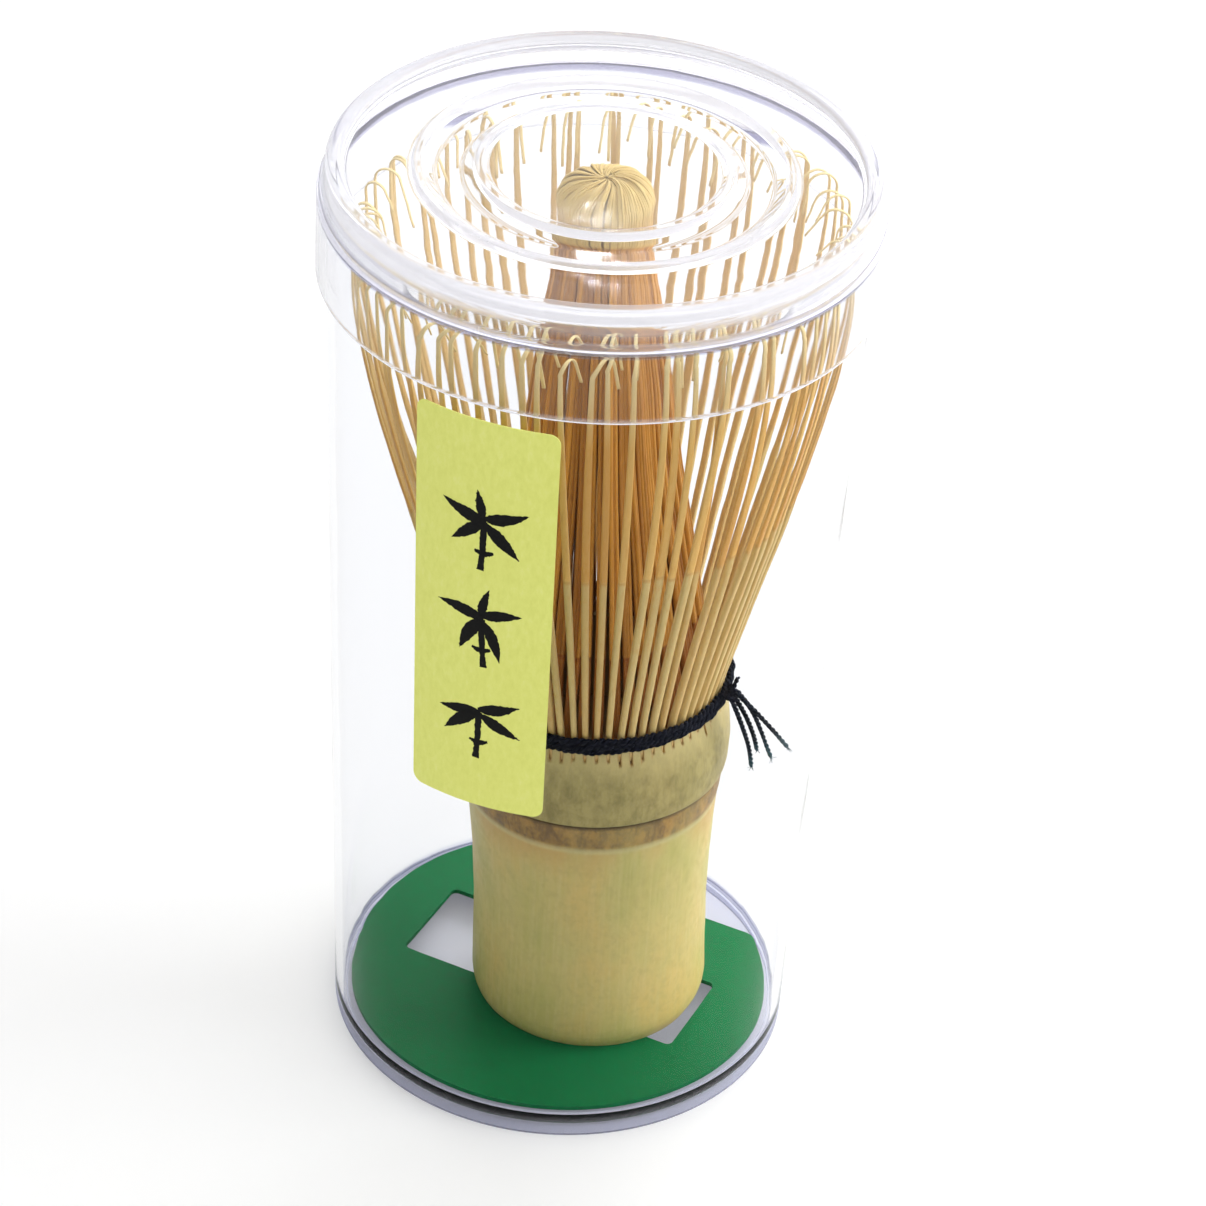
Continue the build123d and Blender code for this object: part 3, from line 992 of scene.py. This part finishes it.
def outer_tine(build, azimuth):
    """An outer tine: it flares, thins at the shaving line, and hooks back to a loose tail."""
    grow = rng.normal(0, 0.012)
    line = smooth_line(OUTER_LINE, STEM_POINTS)
    rise = np.clip((line[:, 1] - 50) / 58, 0, 1)
    line[:, 0] = np.minimum(line[:, 0] * (1 + grow * rise), OUTER_LIMIT_R)
    line[:, 1] += rng.normal(0, 0.5) * rise
    bend = rng.uniform(1.25, 1.75)
    curl_turn = math.radians(rng.uniform(150, 185))
    line = hook(line, math.pi / 2 - 0.03, bend, curl_turn, HOOK_POINTS)
    fall = line[-1] - line[-2]
    fall /= np.linalg.norm(fall)
    tail = np.linspace(0.4, rng.uniform(2.2, 6.0), TAIL_POINTS)[:, None] * fall
    line = np.vstack([line, line[-1] + tail])
    n = len(line)
    s = np.clip((line[:, 1] - TINE_ROOT_H) / 66, 0, 1)
    s[STEM_POINTS:] = 1.0
    drift = rng.normal(0, 0.022) * s**1.5 + rng.normal(0, 0.012) * np.sin(s * math.pi)
    if rng.random() < 0.14:
        drift += rng.choice([-1, 1]) * 0.05 * np.clip((s - 0.35) / 0.5, 0, 1)
    sideways = np.linspace(0, rng.normal(0.052, 0.022), n - STEM_POINTS)
    drift[STEM_POINTS:] += sideways
    end = np.clip((np.arange(n) - STEM_POINTS) / (n - STEM_POINTS), 0, 1)
    width = profile(line[:, 1], OUTER_SECTION, WIDTH) * (1 - 0.45 * end) * rng.uniform(0.9, 1.08)
    thick = profile(line[:, 1], OUTER_SECTION, THICKNESS) * (1 - 0.4 * end)
    tone = rng.uniform(0, 1)
    shift = rng.normal(0, 0.004)
    r, h = line.T
    tine(build, r, azimuth + drift, h, width, thick, tone, shift, lit_inner_face=True)


def tuft_line(line, rank, reach):
    """Carries a fibre's (r, h) line over the dome of the tuft, in to reach from the axis."""
    top = TINE_TOP_H + 0.18 * rank + rng.normal(0, 0.12)
    dome = [
        (5.35 + 0.06 * rank, 112.4),
        (5.1, top - 0.8),
        (4.25, top + 0.15),
        (3.2, top + 0.7),
        (max(reach, 1.9), top + 0.88),
        (reach, top + 0.75),
    ]
    cap = smooth_line(np.vstack([line[-2:], dome]), 30)[5:]
    return np.vstack([line[:-1], cap])


def inner_tine(build, azimuth, rank):
    """An inner tine is split into three fibres that part on the way up and meet in the tuft."""
    sway = rng.normal(0, 0.03)
    swell = 0.01 * rng.normal()
    lean = rng.normal(0, 0.02)
    snake = rng.normal(0, 0.012)
    tone = rng.uniform(0, 1)
    for part in (-1, 0, 1):
        line = smooth_line(INNER_LINE, 30)
        rise = np.clip((line[:, 1] - 50) / 60, 0, 1)
        belly = (sway + rng.normal(0, 0.012)) * np.sin(rise * math.pi)
        line[:, 0] *= 1 + belly + swell * rise
        line = tuft_line(line, rank, reach=(0.3, 1.1, 2.0)[(rank + part) % 3])
        r, h = line.T
        p = np.linspace(0, 1, len(line))
        s = np.clip((h - 50) / 60, 0, 1)
        swirl = np.where(r < TUFT_R, (TUFT_R - r) / TUFT_R, 0) * (h > 108)
        drift = lean * s + snake * np.sin(2 * s * math.pi) + rng.normal(0, 0.012) * s
        drift += 0.6 * swirl**1.4 + part * profile(h, FIBRE_SPREAD)
        own_tone = float(np.clip(tone + rng.normal(0, 0.22), 0, 1))
        width = profile(p, FIBRE_SECTION, WIDTH)
        thick = profile(p, FIBRE_SECTION, THICKNESS)
        tine(build, r, azimuth + drift, h, width, thick, own_tone)


OUTER_PITCH = FULL_TURN / (SECTIONS * OUTER_PER_SECTION)
INNER_PITCH = FULL_TURN / (SECTIONS * INNER_PER_SECTION)
for i in range(SECTIONS):
    outer_build, inner_build = Build(), Build()
    for k in range(OUTER_PER_SECTION):
        place = i * OUTER_PER_SECTION + k + 0.5
        outer_tine(outer_build, OUTER_PITCH * place + rng.normal(0, 0.004))
    for k in range(INNER_PER_SECTION):
        place = i * INNER_PER_SECTION + k + 0.5
        inner_tine(inner_build, INNER_PITCH * place + rng.normal(0, 0.006), k % 3)
    outer_obj = outer_build.object(f"outer_tines_fine_{i + 1}", place=WHISK_PLACE)
    inner_obj = inner_build.object(f"inner_tines_fine_{i + 1}", place=WHISK_PLACE)
    finish_piece(outer_obj, outer_mat, "whisk", "bamboo_outer", f"outer_tines_{i + 1}")
    finish_piece(inner_obj, inner_mat, "whisk", "bamboo_inner", f"inner_tines_{i + 1}")


# ---------------------------------------------------------------- binding thread
# Turns of the winding as (radius, height)
WINDING_ROWS = ((16.3, 47.6), (16.5, 48.3), (16.55, 49.0))
WINDING_THREAD_R = 0.45
KNOT_AT = np.array((16.6, -6.6, 49.6))
# Loose ends, from the knot down to their tips
END_ROUTES = (
    [(16.6, -7.2, 49.2), (17.9, -7.1, 45.4), (18.9, -6.8, 41.8), (19.3, -6.6, 38.9)],
    [(16.9, -6.4, 49.2), (18.5, -5.9, 45.6), (19.5, -5.7, 42.6), (19.9, -5.4, 40.5)],
    [(17.2, -6.2, 49.8), (19.0, -6.1, 47.0), (20.3, -6.0, 43.7), (21.6, -6.0, 39.9)],
    [(17.2, -6.9, 49.9), (19.4, -7.0, 47.4), (21.5, -7.1, 44.9), (23.4, -7.0, 42.2)],
)


def make_winding():
    """Turns of thread that dip between the tines."""
    build = Build()
    angle = np.linspace(0, FULL_TURN, 1441)
    for row, (radius, h) in enumerate(WINDING_ROWS):
        weave = 0.10 * np.cos(36 * angle + row * math.pi)
        lift = 0.07 * np.sin(5 * angle + row * 2.0) + 0.05 * np.sin(13 * angle + row)
        path = polar(radius + weave, angle, h + lift)
        twisted(build, path, WINDING_THREAD_R, 1.6, tone=0.3 + 0.2 * row, closed=True)
    return build.object("thread_winding_twisted", place=WHISK_PLACE)


def make_knot():
    """A trefoil knot, with a short stub that stands up from it."""
    build = Build()
    t = np.linspace(0, FULL_TURN, 181)
    x = np.sin(t) + 2 * np.sin(2 * t)
    y = np.cos(t) - 2 * np.cos(2 * t)
    trefoil = np.stack([x, y, -1.3 * np.sin(3 * t)], -1)
    turn = Matrix.Rotation(math.radians(70), 3, "Y") @ Matrix.Rotation(math.radians(20), 3, "X")
    twisted(build, trefoil * 0.30 @ np.array(turn).T + KNOT_AT, 0.36, 1.2)
    stub = smooth_line([KNOT_AT, KNOT_AT + (0.25, 0.05, 1.2), KNOT_AT + (0.65, 0.1, 2.4)], 24)
    twisted(build, stub, np.linspace(0.34, 0.26, 24), 1.2)
    return build.object("thread_knot_tied", place=WHISK_PLACE)


def make_end(route):
    """A loose end: two-ply thread that frays at its tip."""
    build = Build()
    path = smooth_line(route, 90)
    twisted(build, path, np.linspace(0.33, 0.27, 90), 1.4)
    tip, back = path[-1], path[-4]
    out = (tip - back) / np.linalg.norm(tip - back)
    for _ in range(9):
        spread = rng.normal(0, 0.32, 3)
        middle = tip + 0.25 * out + 0.25 * spread
        fibre = smooth_line([tip - 0.3 * out, middle, tip + 0.6 * out + 0.8 * spread], 7)
        build.grid(tube(fibre, np.linspace(0.05, 0.015, 7), 5), along=np.full(7, 1.0))
    return build


finish_piece(make_winding(), thread_mat, "whisk", "thread", "thread_winding")
finish_piece(make_knot(), thread_mat, "whisk", "thread", "thread_knot")
for i, route in enumerate(END_ROUTES):
    end = make_end(route).object(f"thread_end_twisted_{i + 1}", place=WHISK_PLACE)
    finish_piece(end, end_mat, "whisk", "thread", f"thread_end_{i + 1}")


# ---------------------------------------------------------------- stage, light and camera
def make_floor():
    build = Build()
    s = np.linspace(-3000, 3000, 13)
    x, y = np.meshgrid(s, s)
    build.grid(np.stack([x, y, 0 * x - 0.05], -1), wrap=False, caps=False)
    floor = build.object("studio_floor")
    floor.data.materials.append(floor_mat)


def area_light(name, place, target, size, power):
    data = bpy.data.lights.new(name, "AREA")
    data.shape = "RECTANGLE"
    data.size, data.size_y = size
    data.energy = power
    obj = bpy.data.objects.new(name, data)
    obj.location = place
    obj.rotation_euler = (Vector(target) - Vector(place)).to_track_quat("-Z", "Y").to_euler()
    bpy.context.scene.collection.objects.link(obj)


def make_world():
    """A soft white room, brighter behind and to the right."""
    world = bpy.data.worlds.new("studio")
    world.use_nodes = True
    tree = world.node_tree
    tree.nodes.clear()
    coords = node(tree, "ShaderNodeTexCoord")
    split = node(tree, "ShaderNodeSeparateXYZ", {"Vector": coords.outputs["Generated"]})
    depth = remap(tree, split.outputs["Y"], -0.4, 0.8, 0.55, 0.95)
    across = remap(tree, split.outputs["X"], -0.5, 0.9, 0.0, 0.3)
    sky = math_node(tree, "ADD", depth, across)
    back = node(tree, "ShaderNodeBackground", {"Color": sky})
    back.inputs["Strength"].default_value = 0.6
    node(tree, "ShaderNodeOutputWorld", {"Surface": back.outputs[0]})
    bpy.context.scene.world = world


def make_camera():
    """The photo's camera: it looks down at the case, rolled a little."""
    data = bpy.data.cameras.new("camera")
    data.sensor_width = 36.0
    data.lens = 127.5
    camera = bpy.data.objects.new("camera", data)
    camera.location = (0.0, -0.41657, 0.36261)
    aim = Vector((0.00276, 0.0, 0.06075)) - camera.location
    roll = Matrix.Rotation(math.radians(3.57), 3, "Z")
    camera.rotation_euler = (aim.to_track_quat("-Z", "Y").to_matrix() @ roll).to_euler()
    bpy.context.scene.collection.objects.link(camera)
    bpy.context.scene.camera = camera


BODY_MIDDLE = (0, 0, 0.06)
make_floor()
area_light("back", (0.35, 0.95, 0.85), BODY_MIDDLE, (1.3, 0.8), 8.0)
area_light("side", (0.95, 0.1, 0.5), BODY_MIDDLE, (0.6, 0.8), 6.0)
area_light("front", (0.1, -0.85, 0.85), BODY_MIDDLE, (0.7, 0.7), 1.4)
area_light("top", (-0.1, -0.1, 1.3), (0, 0, 0.08), (0.8, 0.8), 1.6)
# A small lamp that the lid's trough mirrors towards the camera
area_light("glint", (-0.001, 1.265, 0.899), (0, 0, 0.12), (0.017, 0.012), 0.1)
make_world()
make_camera()

bpy.context.scene.view_settings.view_transform = "Standard"
bpy.context.scene.cycles.max_bounces = 16
bpy.context.scene.cycles.diffuse_bounces = 3
bpy.context.scene.cycles.glossy_bounces = 12
bpy.context.scene.cycles.transmission_bounces = 16
bpy.context.scene.cycles.transparent_max_bounces = 12
